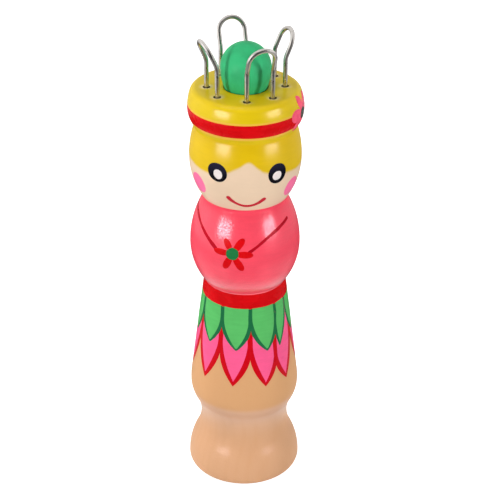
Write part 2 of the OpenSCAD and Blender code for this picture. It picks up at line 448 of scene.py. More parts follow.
def bare_wood(finish, colours, pools, fibre):
    """Colour of the unpainted wood: faint rings and fibres, a golden hip, and a painted reflection of
    the floor that pales the ankle's hollow.
    """
    x, y, z = (finish.axes.other(k) for k in "XYZ")
    wander = finish.noise(finish.place, 28.0, (1.0, 1.0, 0.22), 2.0)
    across, along = x - LOG_HEART[0] * MM, y - LOG_HEART[1] * MM
    from_heart = (across * across + along * along).root() + wander * (RING_WANDER * MM)
    rings = ((from_heart + z * 0.035) * (2.0 * math.pi / (RING_PITCH * MM))).sine()
    grain = (rings * 0.5 + 0.5).step(0.1, 1.0) * 0.14 + (fibre - 0.5) * 0.4 + pools * 0.12
    wood = finish.blend(grain.step(0.0, 0.95), colours.wood, colours.wood_dark)
    golden = [(a + b) / 2.0 for a, b in zip(colours.wood, colours.wood_golden)]
    wood = finish.blend(z.above(GOLDEN_LOW) * 0.85, wood, golden)
    # Painted reflection of the floor: the ankle's hollow is blended towards a pale colour
    return finish.blend(z.within(REFLECTION_LOW, REFLECTION_HIGH) * 0.4, wood, colours.wood_floor_reflection)


def painted_wood(name, colours, sizes):
    """Turned wood under its coats of paint: grain below the belt, dress, face, hair and cap above."""
    finish = Finish(name)
    x, y, z = (finish.axes.other(k) for k in "XYZ")
    strokes = finish.noise(finish.place, 150.0, (1.0, 1.0, 8.0), 4.0, 0.6)
    pools = finish.noise(finish.place, 190.0, detail=2.0)
    fine = finish.noise(finish.place, 1300.0, detail=1.0)
    fibre = finish.noise(finish.place, 900.0, (1.0, 1.0, 0.035), 3.0, 0.6)
    crackle = finish.noise(finish.place, 2300.0, detail=1.0).step(0.34, 0.56)
    shade = (strokes * 0.6 + pools * 0.4).step(0.28, 0.72)

    wander = (pools - 0.5) * (0.5 * MM)
    hair_z = hair_height(finish, x.angle_from(y * -1.0))
    dress = (z + wander * 0.5).above(DRESS_LOW)
    face = (z + wander * 0.3).above(SKIN_LOW)
    hair = (z + wander - hair_z).above(HAIR_EDGE)
    cap = z.step(sizes.brim_height - 0.1 * MM, sizes.brim_height)
    tint = bare_wood(finish, colours, pools, fibre)
    coats = (
        (dress, colours.dress_pink, 0.95, 1.03), (face, colours.skin, 0.985, 1.01),
        (hair, colours.hair_yellow, 0.96, 1.02), (cap, colours.cap_yellow, 0.96, 1.02),
    )
    for mask, colour, thin, thick in coats:
        coat = finish.blend(shade, scaled(colour, thin), scaled(colour, thick))
        tint = finish.blend(mask, tint, coat)

    underside = 1.0 - z.above(CHEST_UNDERSIDE)
    chest = dress * (1.0 - z.above(CHEST_TOP))
    gloss = GLOSS_ALL + (1.0 - z.above(FOOT_TOP)) * GLOSS_FOOT
    gloss = gloss + z.within(HOLLOW_LOW, HOLLOW_HIGH) * GLOSS_HOLLOW
    gloss = gloss + chest * (GLOSS_CHEST + underside * GLOSS_UNDERSIDE)
    gloss = gloss * (1.0 - face * FACE_LOSS) + hair * GLOSS_HAIR + cap * GLOSS_CAP
    broken = (dress - face) * (1.0 - underside) * (1.0 - crackle)
    gloss = gloss * (1.0 - broken * BREAK_LOSS)
    tint = finish.blend(broken * 0.1, tint, scaled(colours.dress_pink, 0.8))
    ground = z.within(BAND_GROUND_LOW, BAND_GROUND_HIGH)
    tint = finish.blend(ground * 0.6, tint, colours.band_ground)

    halo = finish.add("ShaderNodeAttribute", {"attribute_name": "leg_halo"}, out="Fac")
    drilled = finish.add("ShaderNodeAttribute", {"attribute_name": "drilled"}, out="Fac")
    from_axis = (x * x + y * y).root()
    bore = sizes.bore_radius
    # Painted shade: inside the bore the wood is drawn darker for the shadow that falls there, and it is
    # also made rougher
    shaded_bore = 1.0 - from_axis.step(bore + 0.25 * MM, bore + 0.45 * MM)
    tint = finish.blend(halo * pools.step(0.3, 0.62), tint, colours.leg_halo)
    tint = finish.blend(shaded_bore, tint, scaled(colours.wood, 0.62))
    # Painted shade on the walls of the leg holes
    tint = finish.blend(drilled, tint, colours.hole_wall_shade)

    painted = z.above(DRESS_LOW)
    roughness = pools * 0.14 + 0.3 + (1.0 - painted) * 0.1 + shaded_bore * 0.3 + drilled * 0.4
    on_paint = fine * (0.35 + (dress - face) * 0.85) + strokes * 0.2
    on_wood = fibre * 0.2 + fine * 1.1
    height = on_paint * painted + on_wood * (1.0 - painted)
    coat = {"Specular IOR Level": 0.06, "Coat Weight": gloss, "Coat Roughness": 0.2, "Coat IOR": 2.1}
    return finish.close(tint, roughness, height, 0.07 * MM, coat)


def polished_wire(name, colour):
    """Drawn stainless wire: bright, with faint long draw marks."""
    finish = Finish(name)
    cloud = finish.noise(finish.place, 420.0, detail=2.0)
    tint = finish.blend(cloud.step(0.3, 0.7), scaled(colour, 0.86), scaled(colour, 1.04))
    roughness = cloud * 0.08 + 0.24
    return finish.close(tint, roughness, fixed={"Metallic": 1.0})


def knob_paint(name, colour):
    """Dipped green paint on the knob, glossier than the brushed coats."""
    finish = Finish(name)
    pools = finish.noise(finish.place, 260.0, detail=2.0)
    peel = finish.noise(finish.place, 1200.0, detail=2.0)
    tint = finish.blend(pools.step(0.3, 0.7), scaled(colour, 0.92), scaled(colour, 1.06))
    return finish.close(tint, pools * 0.1 + 0.38, peel, 0.012 * MM, {"Specular IOR Level": 0.07})


def swell(r_wide, r_end, rise):
    """Radius of the arc that leaves a widest line upright and ends at another radius."""
    return ((r_wide - r_end) ** 2 + rise ** 2) / (2.0 * (r_wide - r_end))


def arc(centre_r, centre_z, radius, start, end, pitch):
    """Points of an arc of the profile, angles in radians from the outward direction."""
    count = max(4, int(abs(end - start) * radius / pitch))
    turns = np.linspace(start, end, count + 1)
    return np.column_stack((centre_r + radius * np.cos(turns), centre_z + radius * np.sin(turns)))


def bulge(low, wide, high, pitch):
    """A bulge between two grooves, each given as radius and height."""
    down = swell(wide[0], low[0], wide[1] - low[1])
    up = swell(wide[0], high[0], high[1] - wide[1])
    lower = arc(wide[0] - down, wide[1], down, -math.asin((wide[1] - low[1]) / down), 0.0, pitch)
    upper = arc(wide[0] - up, wide[1], up, 0.0, math.asin((high[1] - wide[1]) / up), pitch)
    return np.vstack((lower, upper[1:]))


class Outline:
    """The turned profile as points of radius and height, and the skin that it sweeps."""

    PITCH = 0.42 * MM

    def __init__(self, sizes):
        self.sizes = sizes
        waist = (sizes.waist_radius, sizes.waist_height)
        neck = (sizes.neck_radius, sizes.neck_height)
        brim = (sizes.brim_radius, sizes.brim_height)
        chest = (sizes.chest_radius, sizes.chest_height)
        head = (sizes.head_radius, sizes.head_height)
        runs = [
            self.skirt(waist),
            bulge(waist, chest, neck, self.PITCH),
            bulge(neck, head, brim, self.PITCH),
            self.cap(brim),
        ]
        self.points = self.joined(runs, (waist, neck, brim))
        steps = np.hypot(*np.diff(self.points, axis=0).T)
        self.run = np.concatenate(([0.0], np.cumsum(steps)))

    def skirt(self, waist):
        s = self.sizes
        ankle = np.array((s.ankle_radius + s.ankle_hollow, s.ankle_height))

        def into_hollow(r_wide, z_wide):
            across = ankle[0] - r_wide
            rise = s.ankle_height - z_wide
            radius = (across ** 2 + rise ** 2 - s.ankle_hollow ** 2) / (2.0 * (r_wide - s.ankle_radius))
            return radius, math.atan2(rise, ankle[0] - r_wide + radius)

        foot, foot_turn = into_hollow(s.foot_radius, s.foot_edge)
        hip, hip_turn = into_hollow(s.hip_radius, s.hip_height)
        centre = np.array((s.hip_radius - s.hip_round, s.hip_height))
        reach = np.array(waist) - centre
        lean = math.atan2(reach[1], reach[0]) - math.acos(s.hip_round / np.hypot(*reach))
        pieces = [
            arc(s.foot_radius - s.foot_edge, s.foot_edge, s.foot_edge, -math.pi / 2, 0.0, self.PITCH),
            arc(s.foot_radius - foot, s.foot_edge, foot, 0.0, foot_turn, self.PITCH),
            arc(*ankle, s.ankle_hollow, math.pi + foot_turn, math.pi + hip_turn, self.PITCH),
            arc(s.hip_radius - hip, s.hip_height, hip, hip_turn, 0.0, self.PITCH),
            arc(*centre, s.hip_round, 0.0, lean, self.PITCH),
        ]
        cone = np.linspace(pieces[-1][-1], waist, 62)
        return np.vstack([pieces[0]] + [p[1:] for p in pieces[1:]] + [cone[1:]])

    def cap(self, brim):
        s = self.sizes
        low = swell(s.cap_radius, brim[0], s.cap_height - brim[1])
        edge_z = s.body_height - s.cap_edge
        rise = edge_z - s.cap_height
        across = math.sqrt((s.cap_side - s.cap_edge) ** 2 - rise ** 2)
        lean = math.atan2(rise, across)
        flat = s.cap_radius - s.cap_side + across
        start = -math.asin((s.cap_height - brim[1]) / low)
        pieces = [
            arc(s.cap_radius - low, s.cap_height, low, start, 0.0, self.PITCH),
            arc(s.cap_radius - s.cap_side, s.cap_height, s.cap_side, 0.0, lean, self.PITCH),
            arc(flat, edge_z, s.cap_edge, lean, math.pi / 2, self.PITCH * 0.7),
        ]
        return np.vstack([pieces[0]] + [p[1:] for p in pieces[1:]])

    def joined(self, runs, grooves):
        """Joins the runs and rounds each groove, as the paint that lies in it does."""
        fill = self.sizes.groove_fill
        points = runs[0]
        for run, groove in zip(runs[1:], grooves):
            corner = np.array(groove)
            below = points[np.hypot(*(points - corner).T) > fill]
            above = run[np.hypot(*(run - corner).T) > fill]
            t = np.linspace(0.0, 1.0, 12)[1:-1, None]
            turn_in = (1 - t) ** 2 * below[-1] + 2 * t * (1 - t) * corner + t ** 2 * above[0]
            points = np.vstack((below, turn_in, above))
        return points

    def at_height(self, z):
        """Distance along the profile at a height."""
        return np.interp(z, self.points[:, 1], self.run)

    def place(self, azimuth, height):
        """Azimuth and distance of a spot that is given in degrees and millimetres."""
        return math.radians(azimuth), float(self.at_height(height * MM))

    def radius_at(self, s):
        return np.interp(s, self.run, self.points[:, 0])

    def height_at(self, s):
        return np.interp(s, self.run, self.points[:, 1])

    def skin(self, around, s, lift):
        """Places and outward normals of points given by azimuth and distance along the profile."""
        around, s = np.broadcast_arrays(np.asarray(around, float), np.asarray(s, float))
        step = 0.15 * MM
        dr = self.radius_at(s + step) - self.radius_at(s - step)
        dz = self.height_at(s + step) - self.height_at(s - step)
        size = np.hypot(dr, dz)
        nr, nz = dz / size, -dr / size
        flat = self.radius_at(s) + lift * nr
        height = self.height_at(s) + lift * nz
        spots = np.stack((flat * np.sin(around), -flat * np.cos(around), height), axis=-1)
        normals = np.stack((nr * np.sin(around), -nr * np.cos(around), nz), axis=-1)
        return spots, normals


def settle(piece, body, slot, material, *nodes):
    """Gives a finished piece its material and its body, puts it with the painted or the metal pieces by
    its slot, and hides the nodes it stands for.
    """
    piece.data.materials.clear()
    piece.data.materials.append(material)
    bpy.data.collections["metal" if slot in METAL_SLOTS else "painted"].objects.link(piece)
    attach(piece, body)
    if nodes:
        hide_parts(*nodes)
    return piece


def new_piece(name, mesh):
    piece = bpy.data.objects.new(name, mesh)
    bpy.context.scene.collection.objects.link(piece)
    return piece


def mesh_from(name, spots, faces, crease=math.radians(38)):
    """A smooth mesh with sharp edges where its faces turn by more than the crease."""
    work = bmesh.new()
    corners = [work.verts.new(tuple(p)) for p in spots]
    for face in faces:
        work.faces.new([corners[i] for i in face])
    bmesh.ops.remove_doubles(work, verts=work.verts, dist=0.0005 * MM)
    for face in work.faces:
        face.smooth = True
    for edge in work.edges:
        if len(edge.link_faces) == 2:
            edge.smooth = edge.calc_face_angle(0.0) < crease
    mesh = bpy.data.meshes.new(name)
    work.to_mesh(mesh)
    work.free()
    return mesh


def wrapped(rows, columns, offset=0):
    """Quads of a grid that closes on itself round the axis."""
    faces = []
    for i in range(rows - 1):
        for j in range(columns):
            k = (j + 1) % columns
            low, high = offset + i * columns, offset + (i + 1) * columns
            faces.append((low + j, low + k, high + k, high + j))
    return faces


def grid(rows, columns):
    """Quads of an open grid."""
    faces = []
    for i in range(rows - 1):
        for j in range(columns - 1):
            low, high = i * columns + j, (i + 1) * columns + j
            faces.append((low, low + 1, high + 1, high))
    return faces


def cover(start, count):
    """One face over a ring of points."""
    return tuple(start + i for i in range(count))


def joined_parts(parts):
    """Several lists of points and faces as one."""
    spots, faces, count = [], [], 0
    for part, part_faces in parts:
        faces += [tuple(count + i for i in face) for face in part_faces]
        spots.append(part)
        count += len(part)
    return np.vstack(spots), faces


def ring(centre, radius, count):
    """Points of a level circle, from the front round to the right."""
    turns = np.linspace(0.0, 2.0 * math.pi, count, endpoint=False)
    return np.column_stack((centre[0] + radius * np.sin(turns), centre[1] - radius * np.cos(turns)))


def lathe(profile, columns):
    """Points and faces of a profile swept round the axis."""
    turns = np.linspace(0.0, 2.0 * math.pi, columns, endpoint=False)
    r, z = profile[:, 0, None], profile[:, 1, None]
    level = np.broadcast_to(z, (len(r), columns))
    spots = np.stack((r * np.sin(turns), -r * np.cos(turns), level), axis=-1)
    return spots.reshape(-1, 3), wrapped(len(profile), columns)


# Share of a film's lift that its rim loses, and the depth of its underside in the wood
RIM_FALL = 0.55
PAINT_SINK = 0.06 * MM


def rim_edges(faces):
    """Edges that only one face uses, in that face's own direction."""
    seen = {}
    for face in faces:
        for a, b in zip(face, face[1:] + face[:1]):
            key = (min(a, b), max(a, b))
            seen[key] = None if key in seen else (a, b)
    return [edge for edge in seen.values() if edge]


def shell(name, spots, normals, faces, lift):
    """A closed coat of paint: a lifted skin, a rim that falls off, and an underside in the wood."""
    faces = [tuple(int(i) for i in face) for face in faces]
    rim = rim_edges(faces)
    spots = np.array(spots)
    edge = sorted({i for pair in rim for i in pair})
    spots[edge] -= normals[edge] * (lift * RIM_FALL)
    under = spots - normals * (lift + PAINT_SINK)
    count = len(spots)
    every = list(faces)
    every += [tuple(count + i for i in reversed(face)) for face in faces]
    every += [(b, a, count + a, count + b) for a, b in rim]
    return mesh_from(name, np.vstack((spots, under)), every)


def wobble_of(turns, seed, size):
    """A smooth closed wander of a brushed edge."""
    out = np.zeros_like(turns)
    for k in range(2, 9):
        out += np.sin(k * turns + seed * 1.7 + k * k * 0.9) / k
    return out * size * 0.6


def blob(outline, centre, edge, rings=7):
    """Azimuth, distance and faces of a spot of paint whose edge is given as offsets in metres."""
    around0, s0 = centre
    count = len(edge)
    flat = [np.zeros((1, 2))]
    flat += [edge * t for t in np.sin(np.linspace(0.0, math.pi / 2, rings + 1))[1:]]
    flat = np.vstack(flat)
    s = s0 + flat[:, 1]
    around = around0 + flat[:, 0] / outline.radius_at(s)
    faces = [(0, 1 + j, 1 + (j + 1) % count) for j in range(count)]
    faces += [tuple(reversed(face)) for face in wrapped(rings, count, 1)]
    return around, s, faces


def ellipse(wide, tall, tilt, seed, wobble, count=56):
    """Edge of an ellipse, counter-clockwise from its long end."""
    turns = np.linspace(0.0, 2.0 * math.pi, count, endpoint=False)
    x = wide * np.cos(turns)
    y = tall * np.sin(turns)
    grow = 1.0 + wobble_of(turns, seed, wobble) / wide
    c, s = math.cos(tilt), math.sin(tilt)
    return np.column_stack(((x * c - y * s) * grow, (x * s + y * c) * grow))


def brush_petal(reach, wide, aim, seed, wobble, count=44):
    """Edge of one brush mark of a flower, from its middle outwards: slim root, full round end."""
    turns = np.linspace(0.0, 2.0 * math.pi, count, endpoint=False)
    along = 0.5 * reach * (1.0 - np.cos(turns))
    fullness = (0.5 + 0.5 * (along / reach) ** 0.8)
    across = -wide * np.sin(turns) * fullness
    across += wobble_of(turns, seed, wobble) * 0.5
    middle = along - 0.5 * reach
    c, s = math.cos(aim), math.sin(aim)
    return np.column_stack((middle * c - across * s, middle * s + across * c))


def smooth_path(points, count):
    """A smooth curve that passes through every point."""
    p = np.array(points, float)
    p = np.vstack((2 * p[0] - p[1], p, 2 * p[-1] - p[-2]))
    knots = np.linspace(0.0, len(p) - 3 - 1e-9, count)
    i = knots.astype(int)
    t = (knots - i)[:, None]
    a, b, c, d = p[i], p[i + 1], p[i + 2], p[i + 3]
    return 0.5 * (2 * b + (c - a) * t + (2 * a - 5 * b + 4 * c - d) * t ** 2
                  + (3 * b - a - 3 * c + d) * t ** 3)


def stroke(outline, path, width, seed, swing=0.12, count=90, across=7):
    """Azimuth, distance and faces of one brush stroke along a path of azimuth and height."""
    line = smooth_path([outline.place(*spot) for spot in path], count)
    radius = outline.radius_at(line[:, 1]).mean()
    flat = np.column_stack((line[:, 0] * radius, line[:, 1]))
    tangent = np.gradient(flat, axis=0)
    tangent /= np.hypot(*tangent.T)[:, None]
    side = np.column_stack((tangent[:, 1], -tangent[:, 0]))
    run = np.concatenate(([0.0], np.cumsum(np.hypot(*np.diff(flat, axis=0).T))))
    sway = np.sin(run / (2.3 * MM) + seed) + 0.5 * np.sin(run / (0.9 * MM))
    from_end = np.clip(np.minimum(run, run[-1] - run) / (width / 2), 0.0, 1.0)
    half = width / 2 * (1.0 + swing * sway)
    half *= np.sqrt(np.clip(1.0 - (1.0 - from_end) ** 2, 0.0025, 1.0))
    spread = np.linspace(-1.0, 1.0, across)
    spots = flat[:, None, :] + side[:, None, :] * (half[:, None] * spread)[:, :, None]
    s = spots[:, :, 1].ravel()
    around = (spots[:, :, 0] / radius).ravel()
    return around, s, grid(count, across)


def band_film(outline, low, high, seed, wobble, columns=220, rows=9):
    """Azimuth, distance and faces of a band painted right round the doll."""
    turns = np.linspace(0.0, 2.0 * math.pi, columns, endpoint=False)
    bottom = outline.at_height(low) + wobble_of(turns, seed, wobble)
    top = outline.at_height(high) + wobble_of(turns, seed + 5, wobble)
    t = np.linspace(0.0, 1.0, rows)[:, None]
    s = bottom + (top - bottom) * t
    around = np.broadcast_to(turns, s.shape)
    return around.ravel(), s.ravel(), wrapped(rows, columns)


def values_of(group):
    """One of the groups of sizes, colours or studio values."""
    return getattr(bpy.context.scene, "nancy_" + group)


def lay_paint(name, outline, patch, coats, finish):
    """One film of paint on the doll, from the azimuth, distance and faces of its patch."""
    around, s, faces = patch
    lift = values_of("layout").film * coats
    spots, normals = outline.skin(around, s, lift)
    mesh = shell(name, spots, normals, faces, lift)
    settle(new_piece(name, mesh), DOLL, "doll_wood", finish)


STAPLES = ("front", "right", "back", "left")


def leg_chord(s):
    """Distance from the axis to the line through a staple's two legs."""
    return math.sqrt(s.leg_circle ** 2 - (s.span / 2) ** 2)


def leg_spots():
    """Places of the eight legs on the cap, in metres."""
    s = values_of("staples")
    spots = []
    for side in STAPLES:
        spin = Matrix.Rotation(getattr(s, side + "_turn"), 2)
        spots += [spin @ Vector((sign * s.span / 2, -leg_chord(s))) for sign in (-1.0, 1.0)]
    return spots


class NANCY_OT_turned_body(bpy.types.Operator):
    """Turn the doll, drill its cap and give it its coats of paint"""

    bl_idname = "nancy.turned_body"
    bl_label = "Turned body"
    COLUMNS = 160
    HOLE_SIDES = 40
    BORE_ROWS = 24
    FOOT_RINGS = 6
    # The dimple in the paint round a leg hole, its rings beyond the mouth, and the pale halo there
    DIMPLE = 0.07 * MM
    DIMPLE_REACH = 1.5 * MM
    DIMPLE_RINGS = (0.0, 0.3 * MM, 0.65 * MM, 1.05 * MM, 1.5 * MM)
    HALO_REACH = 1.2 * MM

    def execute(self, context):
        sizes = values_of("turning")
        outline = Outline(sizes)
        spots, faces, holes = self.solid(sizes, outline)
        mesh = mesh_from("turned_body", spots, faces)
        self.mark_legs(mesh, holes, sizes)
        piece = new_piece("turned_body", mesh)
        finish = painted_wood("painted_turned_wood", values_of("colours"), sizes)
        settle(piece, DOLL, "doll_wood", finish, "doll_body")
        return {"FINISHED"}

    def solid(self, sizes, outline):
        """Outside, bore, flat of the cap and drilled holes as one list of points and faces."""
        bore, ch, top = sizes.bore_radius, sizes.bore_chamfer, sizes.body_height
        foot_radii = np.linspace(bore + ch, outline.points[0][0], self.FOOT_RINGS + 1)[:-1]
        under = np.column_stack((foot_radii, np.zeros(self.FOOT_RINGS)))
        outside = np.vstack(([(bore, ch)], under, outline.points))
        heights = np.linspace(top - ch, ch, self.BORE_ROWS)
        wall = np.column_stack((np.full(self.BORE_ROWS, bore), heights))
        inside = np.vstack(([(bore + ch, top)], wall))
        holes = leg_spots()
        parts = (
            lathe(outside, self.COLUMNS),
            lathe(inside, self.COLUMNS),
            self.cap_flat(sizes, outline, holes),
            self.drilled(sizes, holes),
        )
        return (*joined_parts(parts), holes)

    def mouth_radius(self):
        s = values_of("staples")
        return s.wire_radius + s.hole_gap + s.countersink

    def cap_flat(self, sizes, outline, holes):
        """The flat of the cap, with a shallow dimple in the paint round each drilled hole."""
        mouth = self.mouth_radius()
        outer, inner = outline.points[-1][0], sizes.bore_radius + sizes.bore_chamfer
        loops = [ring((0.0, 0.0), radius, self.COLUMNS) for radius in (outer, inner)]
        for hole in holes:
            loops += [ring(hole, mouth + grow, self.HOLE_SIDES) for grow in self.DIMPLE_RINGS]
        flat = np.vstack(loops)
        edges, start = [], 0
        for loop in loops:
            n = len(loop)
            edges += [(start + i, start + (i + 1) % n) for i in range(n)]
            start += n
        verts, _, tris, *_ = delaunay_2d_cdt([Vector(p) for p in flat], edges, [], 0, 1e-9)
        places = np.array([tuple(v) for v in verts])
        kept = []
        for tri in tris:
            middle = places[list(tri)].mean(axis=0)
            far = np.hypot(*middle)
            clear = min(np.hypot(*(middle - np.array(h))) for h in holes)
            if inner < far < outer and clear > mouth:
                kept.append(tuple(tri))
        away = np.min([np.hypot(*(places - np.array(h)).T) for h in holes], axis=0)
        dip = -self.DIMPLE * np.clip(1.0 - (away - mouth) / self.DIMPLE_REACH, 0.0, 1.0) ** 2
        spots = np.column_stack((places, sizes.body_height + dip))
        a, b, c = (spots[[t[i] for t in kept]] for i in range(3))
        up = np.cross(b - a, c - a)[:, 2] > 0
        return spots, [t if u else t[::-1] for t, u in zip(kept, up)]

    def drilled(self, sizes, holes):
        """Countersink, wall and end of each hole."""
        s = values_of("staples")
        wide, mouth, top = s.wire_radius + s.hole_gap, self.mouth_radius(), sizes.body_height
        rows = [(mouth, top - self.DIMPLE), (mouth - 0.08 * MM, top - 0.16 * MM)]
        rows += [(wide, top - s.countersink)]
        rows += [(wide, top - s.leg_depth * share) for share in (0.3, 0.6, 1.0)]
        count = self.HOLE_SIDES
        faces = wrapped(len(rows), count) + [cover((len(rows) - 1) * count, count)]
        parts = []
        for hole in holes:
            walls = [np.column_stack((ring(hole, r, count), np.full(count, z))) for r, z in rows]
            parts.append((np.vstack(walls), faces))
        return joined_parts(parts)

    def mark_legs(self, mesh, holes, sizes):
        """Attributes for the paint: a pale halo round each leg, and the wall of its hole, which gets
        painted shade.
        """
        places = np.empty(len(mesh.vertices) * 3)
        mesh.vertices.foreach_get("co", places)
        places = places.reshape(-1, 3)
        away = np.min([np.hypot(*(places[:, :2] - np.array(h)).T) for h in holes], axis=0)
        mouth = self.mouth_radius()
        depth = sizes.body_height - places[:, 2]
        on_top = depth < 0.1 * MM
        deep = ~on_top & (depth < values_of("staples").leg_depth + 1.0 * MM)
        deep &= away < mouth - 0.04 * MM
        halo = np.clip(1.0 - (away - mouth) / self.HALO_REACH, 0.0, 1.0) * on_top
        for name, values in (("leg_halo", halo), ("drilled", deep.astype(float))):
            layer = mesh.attributes.new(name, "FLOAT", "POINT")
            layer.data.foreach_set("value", values.astype(np.float32))


class NANCY_OT_bands(bpy.types.Operator):
    """Paint the cap's band and the belt"""

    bl_idname = "nancy.bands"
    bl_label = "Band and belt"

    def execute(self, context):
        outline = Outline(values_of("turning"))
        layout = values_of("layout")
        red = brushed_paint("red_brushed_paint", values_of("colours").band_red, 0.9, 1.07, 0.27)
        rows = (
            ("cap_band", layout.band_low, layout.band_high, 1, 1.0),
            ("belt", layout.belt_low, layout.belt_high, 3, 5.0),
        )
        for name, low, high, seed, coats in rows:
            patch = band_film(outline, low, high, seed, layout.wobble)
            lay_paint(name, outline, patch, coats, red)
        return {"FINISHED"}


# Round the skirt: sides between neighbours and points in degrees, heights of the points in
# millimetres, and how far down from the belt each side's notch lies, as a share
LEAF_SIDES = (-66, -30.2, 7.7, 43.5, 64.5, 98, 131, 164, 196, 229, 261.5, 294)
LEAF_POINTS = (-46.4, -9.9, 28.6, 47.2, 81, 115, 146, 181, 212, 246, 279)
LEAF_HEIGHTS = (53.5, 52.8, 52.0, 52.1, 53.4, 52.6, 53.2, 52.2, 53.0, 52.6, 53.3)
LEAF_NOTCHES = (0.36, 0.42, 0.46, 0.45, 0.3, 0.4, 0.44, 0.38, 0.42, 0.4, 0.44, 0.36)
PETAL_SIDES = (-66, -30.3, 7, 39.7, 71.6, 103, 135, 167, 199, 231, 263, 294)
PETAL_POINTS = (-49.1, -12.5, 24.2, 53.4, 87, 119, 150, 181, 215, 247, 277)
PETAL_HEIGHTS = (40.2, 40.0, 39.4, 39.3, 40.6, 39.7, 40.3, 39.8, 40.4, 40.0, 40.2)
PETAL_NOTCHES = (0.52, 0.58, 0.62, 0.735, 0.5, 0.62, 0.56, 0.66, 0.6, 0.58, 0.62, 0.52)
# Notches of the pink fill, which lies inside the outline
PETAL_INNER = (0.406, 0.452, 0.484, 0.645, 0.39, 0.484, 0.437, 0.515, 0.468, 0.452, 0.484, 0.406)


